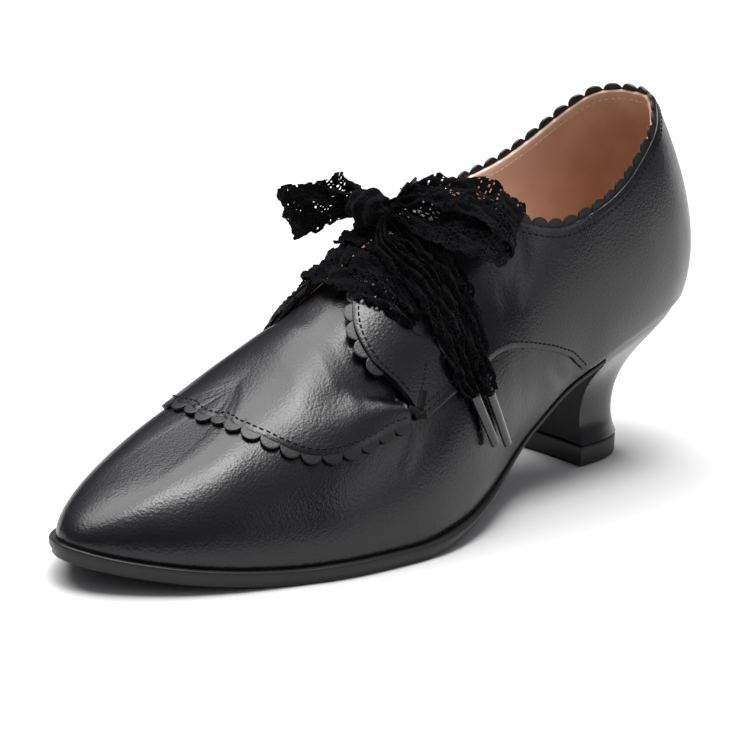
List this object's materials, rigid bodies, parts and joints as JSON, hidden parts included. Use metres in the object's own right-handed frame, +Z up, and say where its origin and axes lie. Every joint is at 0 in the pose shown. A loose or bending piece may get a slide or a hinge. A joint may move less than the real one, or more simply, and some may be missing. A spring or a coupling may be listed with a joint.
{
  "type": "lace-up pump with a spool heel",
  "caption": "Low-cut lace-up pump for a left foot, with a waisted spool heel, scalloped edges and a ribbon bow.",
  "frame": {"origin": "middle of the heel lift's resting face, on the floor", "axes": "+X from the heel to the toe, +Y to the outer side of the foot, +Z up"},
  "size_m": [0.2466, 0.082, 0.1186],
  "materials": {
    "leather": "satin",
    "edging": "satin",
    "lining": "matte",
    "sole": "matte",
    "lace": "matte",
    "aglet": "gloss"
  },
  "bodies": {
    "root": {"outsole": "sole", "heel": "leather", "heel_lift": "sole", "upper": "leather", "apron_tongue": "leather", "insole": "lining", "collar_trim": "edging", "facing_trim_left": "edging", "facing_trim_right": "edging", "apron_trim": "edging", "lace_bar_lower": "lace", "lace_bar_upper": "lace", "bow_knot": "lace", "bow_loop_left": "lace", "bow_loop_right": "lace", "bow_tail_left": "lace", "bow_tail_right": "lace", "aglet_left": "aglet", "aglet_right": "aglet"}
  },
  "joints": []
}
